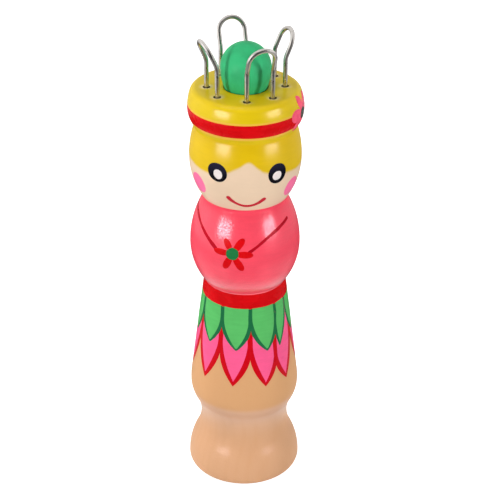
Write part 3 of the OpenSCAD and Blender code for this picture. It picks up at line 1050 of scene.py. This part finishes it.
class NANCY_OT_skirt(bpy.types.Operator):
    """Paint the ring of leaves and petals round the skirt with one node tree"""

    bl_idname = "nancy.skirt"
    bl_label = "Leaves and petals"
    HEM = 40.0 * MM
    UNDER_BELT = 0.6 * MM

    def execute(self, context):
        sizes, layout, colours = values_of("turning"), values_of("layout"), values_of("colours")
        tree, sockets = self.petal_tree()
        profile = Outline(sizes).points
        lap = layout.wobble
        shared = {
            "Top": layout.belt_low + self.UNDER_BELT, "Wobble": layout.wobble,
            "Waist radius": sizes.waist_radius, "Waist height": sizes.waist_height,
            "Hem radius": float(np.interp(self.HEM, profile[:, 1], profile[:, 0])),
            "Hem height": self.HEM,
        }
        petals = (PETAL_SIDES, PETAL_POINTS, PETAL_HEIGHTS, PETAL_NOTCHES)
        inner = (PETAL_SIDES, PETAL_POINTS, PETAL_HEIGHTS, PETAL_INNER)
        leaves = (LEAF_SIDES, LEAF_POINTS, LEAF_HEIGHTS, LEAF_NOTCHES)
        # Each ring's places, inset, share of the notches, bow of the sides, coats, colour and paint
        rows = (
            ("petal_outlines", petals, -lap, 1.0, 1.7, 1.0, colours.petal_edge, "petal_edge_paint"),
            ("petals", inner, layout.petal_outline, 1.0, 1.5, 2.0, colours.petal_pink, "petal_paint"),
            ("leaf_outlines", leaves, -lap, 1.0, 2.0, 3.0, colours.leaf_edge, "leaf_edge_paint"),
            ("leaves", leaves, layout.leaf_outline, 0.64, 1.8, 4.0, colours.leaf_green, "leaf_paint"),
        )
        for name, spots, inset, share, bow, coats, colour, finish_name in rows:
            seeds = self.seeds(name, *spots)
            lift = layout.film * coats
            finish = brushed_paint(finish_name, colour)
            own = {"Inset": inset, "Notch share": share, "Bow": bow, "Lift": lift, "Material": finish}
            mesh = self.grown(seeds, tree, sockets, {**shared, **own})
            self.close(name, mesh, lift, finish)
        return {"FINISHED"}

    def seeds(self, name, sides, points, heights, notches):
        """One vertex for each petal, with its sides, its point and its notches as attributes."""
        mesh = bpy.data.meshes.new(name + "_seeds")
        mesh.from_pydata([(0.0, 0.0, 0.0)] * len(points), [], [])
        columns = {
            "left": np.radians(sides[:-1]), "right": np.radians(sides[1:]),
            "point": np.radians(points), "drop": np.array(heights) * MM,
            "left_notch": notches[:-1], "right_notch": notches[1:],
        }
        for key, values in columns.items():
            layer = mesh.attributes.new(key, "FLOAT", "POINT")
            layer.data.foreach_set("value", np.asarray(values, np.float32))
        return new_piece(name + "_seeds", mesh)

    def petal_tree(self):
        """The node tree that grows a ring of pointed petals from its seeds."""
        tree = bpy.data.node_groups.new("petal_ring", "GeometryNodeTree")
        bench = Bench(tree)
        tree.interface.new_socket("Seeds", in_out="INPUT", socket_type="NodeSocketGeometry")
        sockets = {}
        for name in ("Top", "Inset", "Notch share", "Bow", "Lift", "Wobble",
                     "Waist radius", "Waist height", "Hem radius", "Hem height"):
            made = tree.interface.new_socket(name, in_out="INPUT", socket_type="NodeSocketFloat")
            sockets[name] = made.identifier
        made = tree.interface.new_socket("Material", in_out="INPUT", socket_type="NodeSocketMaterial")
        sockets["Material"] = made.identifier
        tree.interface.new_socket("Petals", in_out="OUTPUT", socket_type="NodeSocketGeometry")
        given = bench.add("NodeGroupInput", out="Seeds")

        def size(name):
            return given.other(name)

        def seed_value(name):
            kind = {"data_type": "FLOAT"}
            return bench.add("GeometryNodeInputNamedAttribute", kind, {"Name": name}, "Attribute")

        def then(kind, geometry, values=None):
            entries = {"Geometry": geometry, **(values or {})}
            return bench.add("GeometryNode" + kind, None, entries)

        counts = {"Size X": 2.0, "Size Y": 1.0, "Vertices X": 25, "Vertices Y": 34}
        sheet = bench.add("GeometryNodeMeshGrid", None, counts, "Mesh")
        many = bench.add("GeometryNodeInstanceOnPoints", None, {"Points": given, "Instance": sheet})
        real = then("RealizeInstances", many)
        across = bench.add("ShaderNodeSeparateXYZ", None, {0: bench.add("GeometryNodeInputPosition")})
        left, right, point, drop = (seed_value(k) for k in ("left", "right", "point", "drop"))
        left_notch = seed_value("left_notch") * size("Notch share")
        right_notch = seed_value("right_notch") * size("Notch share")
        on_right = across.math("GREATER_THAN", 0.0)
        notch = left_notch + (right_notch - left_notch) * on_right
        rise = size("Waist height") - size("Hem height")
        slope = (size("Waist radius") - size("Hem radius")) / rise

        def radius_at(height):
            return size("Hem radius") + (height - size("Hem height")) * slope

        half = (right - left) * 0.5
        inset = size("Inset") / radius_at(drop)
        deeper = left_notch.most(right_notch)
        reach = deeper + (1.0 - deeper) * (1.0 - inset / half) ** (1.0 / size("Bow"))
        down = (0.5 - across.other("Y")) * reach
        z = size("Top") + (drop - size("Top")) * down
        radius = radius_at(z)
        slow = (down * 9.0 + point * 7.0).sine() * size("Wobble")
        quick = (down * 17.0 + left * 5.0).sine() * size("Wobble")
        wander = slow + quick * 0.5
        narrowing = ((down - notch) / (1.0 - notch)).most(0.0) ** size("Bow")
        middle = (left + right) * 0.5
        start = (left_notch + right_notch) * 0.5
        bend = middle + (point - middle) * ((down - start) / (1.0 - start)).most(0.0)
        open_share = 1.0 - narrowing
        spread = (half * open_share - inset - wander * 0.5 / radius * open_share).most(0.0)
        around = bend + across * spread
        lifted = radius + size("Lift")
        entries = {"X": lifted * around.sine(), "Y": lifted * around.cosine() * -1.0, "Z": z}
        spot = bench.add("ShaderNodeCombineXYZ", None, entries)
        laid = then("SetPosition", real, {"Position": spot})
        merged = then("MergeByDistance", laid, {"Distance": 0.0005 * MM})
        smooth = then("SetShadeSmooth", merged, {"Shade Smooth": True})
        whole = then("RealizeInstances", smooth)
        dressed = then("SetMaterial", whole, {"Material": size("Material")})
        bench.end("NodeGroupOutput", dressed)
        return tree, sockets

    def grown(self, seeds, tree, sockets, values):
        """Runs the tree on the seeds and takes its result as a plain mesh."""
        modifier = seeds.modifiers.new("petal_ring", "NODES")
        modifier.node_group = tree
        for name, value in values.items():
            modifier[sockets[name]] = value
        graph = bpy.context.evaluated_depsgraph_get()
        mesh = bpy.data.meshes.new_from_object(seeds.evaluated_get(graph))
        seeds.modifiers.remove(modifier)
        bpy.data.objects.remove(seeds)
        return mesh

    def close(self, name, mesh, lift, finish):
        """Gives the painted skin its rim and its underside."""
        spots = np.array([tuple(v.co) for v in mesh.vertices])
        faces = [tuple(p.vertices) for p in mesh.polygons]
        normals = np.array(spots)
        normals[:, 2] = 0.0
        normals /= np.hypot(normals[:, 0], normals[:, 1])[:, None]
        first = spots[list(faces[0])]
        facing = np.cross(first[1] - first[0], first[2] - first[0]) @ normals[faces[0][0]]
        if facing < 0:
            faces = [face[::-1] for face in faces]
        closed = shell(name, spots, normals, faces, lift)
        bpy.data.meshes.remove(mesh)
        settle(new_piece(name, closed), DOLL, "doll_wood", finish)


class NANCY_OT_face(bpy.types.Operator):
    """Paint the eyes, cheeks and mouth"""

    bl_idname = "nancy.face"
    bl_label = "Face"

    # Azimuth in degrees, height in millimetres, half width, half height and tilt, coats of paint
    SPOTS = (
        ("eye_left", "eye_dark", -29.2, 117.45, 3.4, 3.05, 166, 1.0),
        ("eye_right", "eye_dark", 33.8, 116.85, 3.35, 3.2, 58, 1.0),
        ("pupil_left", "eye_white", -28.2, 116.9, 1.6, 1.5, 110, 2.0),
        ("pupil_right", "eye_white", 33.3, 116.2, 1.6, 1.48, 30, 2.0),
        ("cheek_left", "cheek_pink", -58.5, 110.7, 3.6, 3.5, 90, 1.0),
        ("cheek_right", "cheek_pink", 58.6, 109.6, 3.5, 3.4, 90, 1.0),
    )
    MOUTH = (
        (-19.5, 109.6), (-16, 108.2), (-10, 106.9), (-3, 106.05), (3, 105.85), (9, 106.15),
        (15, 106.95), (20, 108.1), (22.3, 108.8),
    )
    MOUTH_WIDTH = 1.2 * MM

    def execute(self, context):
        outline = Outline(values_of("turning"))
        wobble = values_of("layout").wobble
        colours = values_of("colours")
        finishes = {
            "eye_dark": eye_paint("eye_paint", colours),
            "eye_white": brushed_paint("eye_white_paint", colours.eye_white, 0.96, 1.02, 0.24),
            "cheek_pink": brushed_paint("cheek_paint", colours.cheek_pink, 0.95, 1.04, 0.3),
        }
        for seed, (name, kind, az, z, wide, tall, tilt, coats) in enumerate(self.SPOTS):
            edge = ellipse(wide * MM, tall * MM, math.radians(tilt), seed, wobble)
            lay_paint(name, outline, blob(outline, outline.place(az, z), edge), coats, finishes[kind])
        red = brushed_paint("mouth_paint", colours.mouth_red, 0.9, 1.08, 0.26)
        lay_paint("mouth", outline, stroke(outline, self.MOUTH, self.MOUTH_WIDTH, 2.0), 1.0, red)
        return {"FINISHED"}


class NANCY_OT_flowers(bpy.types.Operator):
    """Paint the strand with its flower on the chest, and the flower on the cap"""

    bl_idname = "nancy.flowers"
    bl_label = "Flowers and strand"

    # Width in millimetres, and a path of azimuth in degrees and height in millimetres
    STRANDS = (
        ("strand_left", 1.15, (
            (-112, 102.2), (-102, 100.7), (-89, 99.2), (-70.4, 97.6), (-54.5, 95.2),
            (-40.6, 92.6), (-30.5, 90.4),
        )),
        ("strand_right", 1.0, (
            (60.5, 98.2), (50, 97.3), (40.2, 96.4), (25.8, 94.7), (6.5, 91.0), (4.4, 90.35),
        )),
    )
    # Aim in degrees from the viewer's right, reach and half width in millimetres
    CHEST_PETALS = (
        (-2, 6.6, 1.4), (56, 6.3, 1.4), (119, 5.4, 1.25),
        (178, 6.3, 1.3), (244, 6.1, 1.4), (301, 6.6, 1.45),
    )
    CAP_PETALS = (
        (174, 7.2, 2.6), (112, 6.8, 1.7), (52, 6.8, 2.2),
        (-8, 7.2, 2.5), (300, 5.6, 2.0), (222, 6.8, 2.0),
    )
    # Azimuth in degrees and height in millimetres
    CHEST_PLACE = (-13.0, 89.9)
    CAP_PLACE = (73.5, 132.9)
    SPOT_RINGS = 6

    def execute(self, context):
        outline = Outline(values_of("turning"))
        colours = values_of("colours")
        strand = brushed_paint("strand_paint", colours.strand_red, 0.88, 1.1, 0.28)
        for seed, (name, width, path) in enumerate(self.STRANDS):
            lay_paint(name, outline, stroke(outline, path, width * MM, 4.0 + seed), 1.0, strand)
        red = brushed_paint("flower_paint", colours.band_red, 0.92, 1.1, 0.28)
        pink = brushed_paint("cap_flower_paint", colours.cap_flower, 0.92, 1.05, 0.28)
        green = brushed_paint("flower_middle_paint", colours.flower_green, 0.85, 1.15, 0.28)
        dark = brushed_paint("cap_flower_middle_paint", colours.cap_flower_middle, 0.85, 1.15, 0.28)
        chest, cap = self.CHEST_PLACE, self.CAP_PLACE
        self.flower(outline, "chest_flower", chest, self.CHEST_PETALS, 2.05, 2.0, red, green)
        self.flower(outline, "cap_flower", cap, self.CAP_PETALS, 1.85, 3.0, pink, dark)
        return {"FINISHED"}

    def flower(self, outline, name, place, petals, middle, coats, petal_finish, middle_finish):
        """Six brush marks round a place, and a thicker round spot in their middle."""
        wobble = values_of("layout").wobble
        around0, s0 = outline.place(*place)
        radius = float(outline.radius_at(s0))
        parts = []
        for seed, (aim, reach, wide) in enumerate(petals):
            a, half = math.radians(aim), 0.5 * reach * MM
            edge = brush_petal(reach * MM, wide * MM, a, seed, wobble)
            centre = (around0 + half * math.cos(a) / radius, s0 + half * math.sin(a))
            around, s, faces = blob(outline, centre, edge, self.SPOT_RINGS)
            parts.append((np.column_stack((around, s)), faces))
        spots, faces = joined_parts(parts)
        lay_paint(name + "_petals", outline, (*spots.T, faces), coats, petal_finish)
        edge = ellipse(middle * MM, middle * MM, 0.0, 9, wobble)
        patch = blob(outline, (around0, s0), edge, self.SPOT_RINGS)
        lay_paint(name + "_middle", outline, patch, coats + 1.5, middle_finish)


class NANCY_OT_staples(bpy.types.Operator):
    """Bend the four staples from round wire"""

    bl_idname = "nancy.staples"
    bl_label = "Staples"
    SIDES = 28
    END_SHARE = 0.85

    def execute(self, context):
        s = values_of("staples")
        top, chord = values_of("turning").body_height, leg_chord(s)
        finish = polished_wire("polished_wire", values_of("colours").wire)
        for side in STAPLES:
            rise = s.back_rise if side == "back" else s.leg_rise
            path = self.path(s, getattr(s, side + "_lean"), rise)
            place = Matrix.Rotation(getattr(s, side + "_turn"), 3, "Z")
            path = np.array([tuple(place @ Vector((x, y - chord, z + top))) for x, y, z in path])
            spots, faces = self.tube(path, s.wire_radius)
            mesh = mesh_from("wire_" + side, spots, faces)
            settle(new_piece("wire_" + side, mesh), DOLL, "staple_wire", finish, "staple_" + side)
        return {"FINISHED"}

    def path(self, s, lean, rise):
        """Middle line of one staple, from one leg's end over the crown to the other's."""
        half = []
        for z in np.linspace(-s.leg_depth, s.bend_start, 16):
            half.append((0.0, z))
        bend = s.bend_radius
        for a in np.linspace(0.0, lean, 9)[1:]:
            half.append((-bend * (1 - math.cos(a)), s.bend_start + bend * math.sin(a)))
        run = rise - s.bend_start - bend * lean
        out = Vector((-math.sin(lean), math.cos(lean)))
        last = Vector(half[-1])
        for f in np.linspace(0.0, run, 6)[1:]:
            half.append(tuple(last + out * f))
        end = Vector(half[-1])
        r = s.span / 2
        crown = []
        for a in np.linspace(0.0, math.pi, 33)[1:-1]:
            lift = end + out * (r * math.sin(a))
            crown.append((-r * math.cos(a), lift[0], lift[1]))
        left = [(-r, y, z) for y, z in half]
        right = [(r, y, z) for y, z in reversed(half)]
        return left + crown + right

    def tube(self, path, radius):
        """A round wire along a path, with its ends closed and slightly rounded."""
        tangent = np.gradient(path, axis=0)
        tangent /= np.linalg.norm(tangent, axis=1)[:, None]
        side = np.cross(tangent[0], (1.0, 0.3, 0.0))
        side /= np.linalg.norm(side)
        rings = []
        turns = np.linspace(0.0, 2.0 * math.pi, self.SIDES, endpoint=False)
        for k, (spot, ahead) in enumerate(zip(path, tangent)):
            side = side - ahead * (side @ ahead)
            side /= np.linalg.norm(side)
            other = np.cross(ahead, side)
            wide = radius * (self.END_SHARE if k in (0, len(path) - 1) else 1.0)
            circle = np.outer(np.cos(turns), side) + np.outer(np.sin(turns), other)
            rings.append(spot + wide * circle)
        count = self.SIDES
        faces = wrapped(len(rings), count)
        faces += [cover(0, count)[::-1], cover((len(rings) - 1) * count, count)]
        return np.vstack(rings), faces


class NANCY_OT_bodkin(bpy.types.Operator):
    """Turn the bodkin's knob and its needle"""

    bl_idname = "nancy.bodkin"
    bl_label = "Bodkin"
    KNOB_SIDES = 112
    NEEDLE_SIDES = 40
    PITCH = 0.35 * MM
    TIP_PITCH = 0.05 * MM
    NEEDLE_GAP = 0.03 * MM
    PLUG_EDGE = 0.3 * MM

    def execute(self, context):
        b = values_of("bodkin")
        sizes = values_of("turning")
        seat = sizes.body_height - sizes.bore_chamfer
        step = b.knob_radius - (sizes.bore_radius - b.seat_gap)
        wide_z = seat + math.sqrt(2.0 * b.knob_side * step - step ** 2)
        end_z = seat - b.knob_plug
        self.knob(b, wide_z, end_z)
        self.needle(b, end_z)
        return {"FINISHED"}

    def knob(self, b, wide_z, end_z):
        """The dome over its plug, with the start of the needle's hole."""
        low = -math.asin((wide_z - end_z) / b.knob_side)
        side = arc(b.knob_radius - b.knob_side, wide_z, b.knob_side, low, 0.0, self.PITCH)
        dome = arc(0.0, wide_z, b.knob_radius, 0.0, math.radians(89.4), self.PITCH)
        hole = b.needle_radius + self.NEEDLE_GAP
        end = [(hole, end_z + 2.0 * MM), (hole, end_z), (side[0][0] - self.PLUG_EDGE, end_z)]
        spots, faces = lathe(np.vstack((end, side, dome[1:])), self.KNOB_SIDES)
        faces.append(cover(len(spots) - self.KNOB_SIDES, self.KNOB_SIDES))
        mesh = mesh_from("knob", spots, faces)
        finish = knob_paint("knob_green_paint", values_of("colours").knob_green)
        settle(new_piece("knob", mesh), BODKIN, "knob_wood", finish, "bodkin_knob")

    def needle(self, b, end_z):
        """The steel needle, from its blunt tip to its end in the knob."""
        tip = end_z - b.needle_reach + b.tip_radius
        round_tip = arc(0.0, tip, b.tip_radius, math.radians(-88), 0.0, self.TIP_PITCH)
        start = tip + b.needle_taper
        heights = [start, *np.linspace(start + 4.0 * MM, end_z + b.needle_hold, 22)]
        shank = [(b.needle_radius, z) for z in heights]
        count = self.NEEDLE_SIDES
        spots, faces = lathe(np.vstack((round_tip, shank)), count)
        faces += [cover(len(spots) - count, count), cover(0, count)[::-1]]
        mesh = mesh_from("needle", spots, faces)
        finish = polished_wire("needle_steel", values_of("colours").needle)
        settle(new_piece("needle", mesh), BODKIN, "needle_steel", finish, "bodkin_needle")


class NANCY_OT_studio(bpy.types.Operator):
    """Set up the floor, the light and the camera"""

    bl_idname = "nancy.studio"
    bl_label = "Studio"

    # Azimuth in degrees; distance, height, and width and height of the box in metres; share of the
    # power; kind. A light never shows in gloss. A shine shows only in the gloss of paint and wood,
    # and a gleam only in metal.
    LAMPS = (
        ("key_left", -40, 0.7, 0.22, 0.08, 0.08, 1.5, "light"),
        ("key_right", 59, 0.7, 0.22, 0.09, 0.09, 1.4, "light"),
        ("shine_left", -46, 0.7, 0.205, 0.35, 0.24, 2.4, "shine"),
        ("shine_right", 56, 0.7, 0.205, 0.35, 0.24, 1.9, "shine"),
        ("gleam_left", -62, 0.7, 0.3, 0.95, 0.6, 1.13, "gleam"),
        ("gleam_right", 78, 0.7, 0.3, 0.6, 0.6, 0.55, "gleam"),
        ("fill_left", -108, 0.7, 0.25, 0.5, 0.5, 1.07, "light"),
        ("fill_right", 118, 0.7, 0.25, 0.5, 0.5, 0.6, "light"),
        ("fill_top", -80, 0.22, 0.88, 0.5, 0.5, 2.0, "light"),
    )
    SHINE_TINT = (1.0, 0.9, 1.0)
    AIM_HEIGHT = 0.08
    WHITE = (1.0, 1.0, 1.0)
    FLOOR_GREY = (0.62, 0.62, 0.62)
    FLOOR_DROP = 0.2 * MM
    # Soft edges of what gloss sees of the floor: azimuths in radians, distances in metres
    BEHIND = (1.9, 2.4)
    FLOOR_LEFT = (0.45, 0.75)
    FLOOR_RIGHT = (0.5, 0.9)
    FLOOR_SIDES = (0.15, 0.9)
    NEAR = (0.034, 0.11)
    BESIDE = (0.08, 0.22)
    FAR = (0.25, 0.3)
    # The same for the walls, and for the upward part of the view where the ceiling starts
    WALL_LEFT = (0.7, 1.5)
    WALL_RIGHT = (1.1, 2.1)
    CEILING = (0.6, 0.9)

    def execute(self, context):
        studio = values_of("studio")
        self.camera(context.scene, studio)
        self.floor()
        self.surroundings(context.scene, studio)
        receivers = {
            "shine": bpy.data.collections.new("painted"),
            "gleam": bpy.data.collections.new("metal"),
        }
        for name, around, away, height, wide, tall, share, kind in self.LAMPS:
            power = studio.softbox_power * share
            lamp = self.softbox(name, around, away, height, (wide, tall), power)
            lamp.visible_glossy = kind != "light"
            lamp.visible_diffuse = kind == "light"
            if kind in receivers:
                lamp.light_linking.receiver_collection = receivers[kind]
            if kind == "shine":
                lamp.data.color = self.SHINE_TINT
        context.scene.view_settings.view_transform = "Standard"
        return {"FINISHED"}

    def camera(self, scene, studio):
        data = bpy.data.cameras.new("camera")
        data.sensor_width = 36.0
        data.lens = studio.camera_lens
        data.shift_x = studio.camera_shift
        data.clip_start = 0.01
        data.clip_end = 20.0
        camera = bpy.data.objects.new("camera", data)
        scene.collection.objects.link(camera)
        camera.location = (0.0, -studio.camera_back, studio.camera_up)
        tilt = Matrix.Rotation(math.pi / 2 - studio.camera_pitch, 3, "X")
        camera.rotation_euler = (tilt @ Matrix.Rotation(studio.camera_roll, 3, "Z")).to_euler()
        scene.camera = camera

    def floor(self):
        """A white floor; gloss sees it bright near the doll, and far off at the sides and behind."""
        work = bmesh.new()
        bmesh.ops.create_circle(work, cap_ends=True, radius=6.0, segments=96)
        mesh = bpy.data.meshes.new("floor")
        work.to_mesh(mesh)
        work.free()
        floor = new_piece("floor", mesh)
        floor.location.z = -self.FLOOR_DROP
        finish = Finish("white_floor")
        path = finish.add("ShaderNodeLightPath", out="Is Camera Ray")
        gloss = path.other("Is Glossy Ray")
        seen = path.most(path.other("Is Transmission Ray"))
        x, y = finish.axes, finish.axes.other("Y")
        around = x.angle_from(y * -1.0)
        away = (x * x + y * y).root()
        behind = around.size().step(*self.BEHIND)
        in_front = 1.0 - behind
        left = (around * -1.0).step(*self.FLOOR_LEFT) * in_front
        right = around.step(*self.FLOOR_RIGHT) * in_front
        beside = around.size().step(*self.FLOOR_SIDES) * in_front * (1.0 - away.step(*self.BESIDE))
        near = (1.0 - away.step(*self.NEAR)).most(beside)
        far = away.step(*self.FAR) * (left * 0.9 + right * 0.5 + behind * 0.55)
        mirrored = 0.03 + near * 0.97 + far

        def glow(strength):
            entries = {"Color": self.WHITE, "Strength": strength}
            return finish.add("ShaderNodeEmission", None, entries)

        matt = finish.add("ShaderNodeBsdfDiffuse", None, {"Color": self.FLOOR_GREY})
        both = finish.add("ShaderNodeAddShader", None, {0: matt, 1: glow(seen * 0.92)})
        shown = finish.add("ShaderNodeMixShader", None, {0: gloss, 1: both, 2: glow(mirrored)})
        finish.end("ShaderNodeOutputMaterial", shown)
        mesh.materials.append(finish.material)

    def surroundings(self, scene, studio):
        """White for the camera, dim as light, and for gloss bright at the sides and overhead."""
        world = bpy.data.worlds.new("studio_world")
        world.use_nodes = True
        scene.world = world
        bench = Bench(world.node_tree)
        way = bench.add("ShaderNodeTexCoord", out="Generated")
        x = bench.add("ShaderNodeSeparateXYZ", None, {0: way})
        around = x.angle_from(x.other("Y") * -1.0)
        sides = (around * -1.0).step(*self.WALL_LEFT).most(around.step(*self.WALL_RIGHT))
        bright = sides.most(x.other("Z").step(*self.CEILING))
        path = bench.add("ShaderNodeLightPath", out="Is Camera Ray")
        gloss = path.other("Is Glossy Ray")
        strength = gloss * (0.05 + bright * 0.95) + (1.0 - gloss) * studio.ambient
        strength = strength * (1.0 - path) + path
        entries = {"Color": self.WHITE, "Strength": strength}
        bench.end("ShaderNodeOutputWorld", bench.add("ShaderNodeBackground", None, entries))

    def softbox(self, name, around, away, height, size, power):
        """A rectangular lamp that faces the middle of the doll."""
        data = bpy.data.lights.new(name, "AREA")
        data.shape = "RECTANGLE"
        data.size, data.size_y = size
        data.energy = power
        lamp = bpy.data.objects.new(name, data)
        bpy.context.scene.collection.objects.link(lamp)
        turned = math.radians(around)
        lamp.location = (away * math.sin(turned), -away * math.cos(turned), height)
        aim = Vector((0.0, 0.0, self.AIM_HEIGHT)) - lamp.location
        lamp.rotation_euler = aim.to_track_quat("-Z", "Y").to_euler()
        return lamp


class NANCY_PT_panel(bpy.types.Panel):
    """The steps of the doll in order"""

    bl_idname = "NANCY_PT_panel"
    bl_label = "Knitting nancy"
    bl_space_type = "VIEW_3D"
    bl_region_type = "UI"
    bl_category = "Nancy"

    def draw(self, context):
        for operator in OPERATORS:
            self.layout.operator(operator.bl_idname)
        for group in GROUPS:
            box = self.layout.box()
            box.label(text=group.capitalize())
            values = values_of(group)
            for name in values.__annotations__:
                box.prop(values, name)


GROUPS = {
    "turning": TurningSizes,
    "staples": StapleSizes,
    "bodkin": BodkinSizes,
    "colours": PaintColours,
    "layout": PaintLayout,
    "studio": StudioSettings,
}
OPERATORS = (
    NANCY_OT_studio,
    NANCY_OT_turned_body,
    NANCY_OT_bands,
    NANCY_OT_skirt,
    NANCY_OT_face,
    NANCY_OT_flowers,
    NANCY_OT_staples,
    NANCY_OT_bodkin,
)


def register():
    for kind in (*GROUPS.values(), *OPERATORS, NANCY_PT_panel):
        bpy.utils.register_class(kind)
    for name, kind in GROUPS.items():
        setattr(bpy.types.Scene, "nancy_" + name, bpy.props.PointerProperty(type=kind))


def unregister():
    for name in GROUPS:
        delattr(bpy.types.Scene, "nancy_" + name)
    for kind in reversed((*GROUPS.values(), *OPERATORS, NANCY_PT_panel)):
        bpy.utils.unregister_class(kind)


def main():
    register()
    bpy.ops.nancy.studio()
    bpy.ops.nancy.turned_body()
    bpy.ops.nancy.bands()
    bpy.ops.nancy.skirt()
    bpy.ops.nancy.face()
    bpy.ops.nancy.flowers()
    bpy.ops.nancy.staples()
    bpy.ops.nancy.bodkin()


if __name__ == "__main__":
    main()
